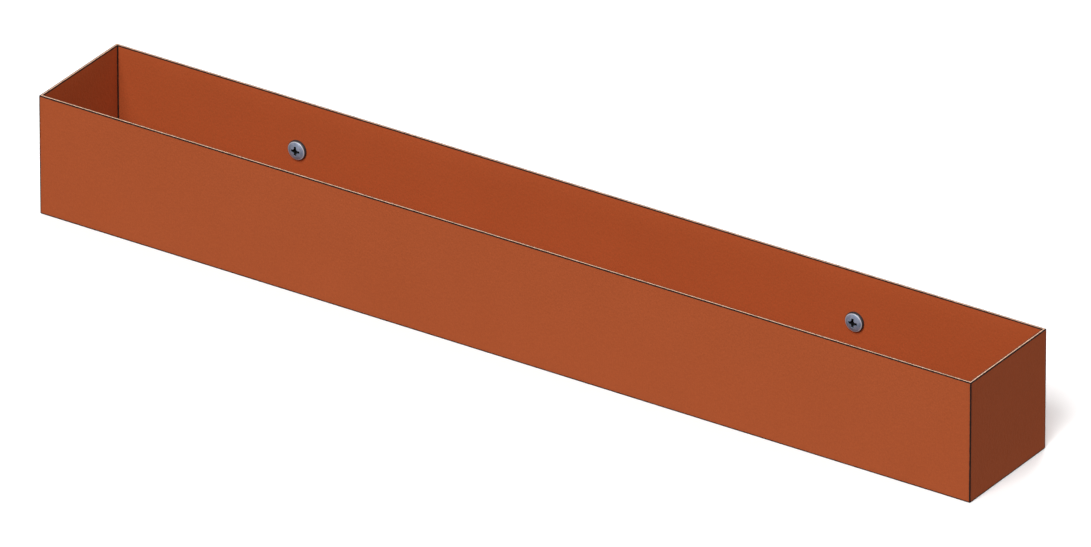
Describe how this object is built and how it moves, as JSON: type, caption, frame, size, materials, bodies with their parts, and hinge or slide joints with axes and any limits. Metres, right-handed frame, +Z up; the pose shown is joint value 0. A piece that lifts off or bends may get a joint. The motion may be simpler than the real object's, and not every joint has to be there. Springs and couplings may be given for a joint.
{
  "type": "trough feeder",
  "caption": "Long narrow open-topped feed trough of thin painted steel plate with square welded corners, fixed to a wall by cross-recess screws through its back.",
  "frame": {"origin": "centre of the trough's underside", "axes": "+X along the trough to the right as seen from the front, +Y out of the back towards the wall, +Z up"},
  "size_m": [0.5, 0.0905, 0.06],
  "materials": {
    "painted_steel": "satin",
    "painted_weld": "satin",
    "zinc_plated_steel": "satin"
  },
  "bodies": {
    "trough": {"floor_plate": "painted_steel", "front_plate": "painted_steel", "back_plate": "painted_steel", "left_end_plate": "painted_steel", "right_end_plate": "painted_steel", "base_weld_front": "painted_weld", "base_weld_back": "painted_weld", "base_weld_left": "painted_weld", "base_weld_right": "painted_weld", "corner_weld_front_left": "painted_weld", "corner_weld_front_right": "painted_weld", "corner_weld_back_left": "painted_weld", "corner_weld_back_right": "painted_weld"},
    "left_screw": {"screw_left": "zinc_plated_steel"},
    "right_screw": {"screw_right": "zinc_plated_steel"}
  },
  "joints": [
    {"name": "left_screw_backs_out", "type": "slide", "parent": "trough", "child": "left_screw", "axis": [0, -1, 0], "range_m": [0, 0.028]},
    {"name": "right_screw_backs_out", "type": "slide", "parent": "trough", "child": "right_screw", "axis": [0, -1, 0], "range_m": [0, 0.028]}
  ]
}
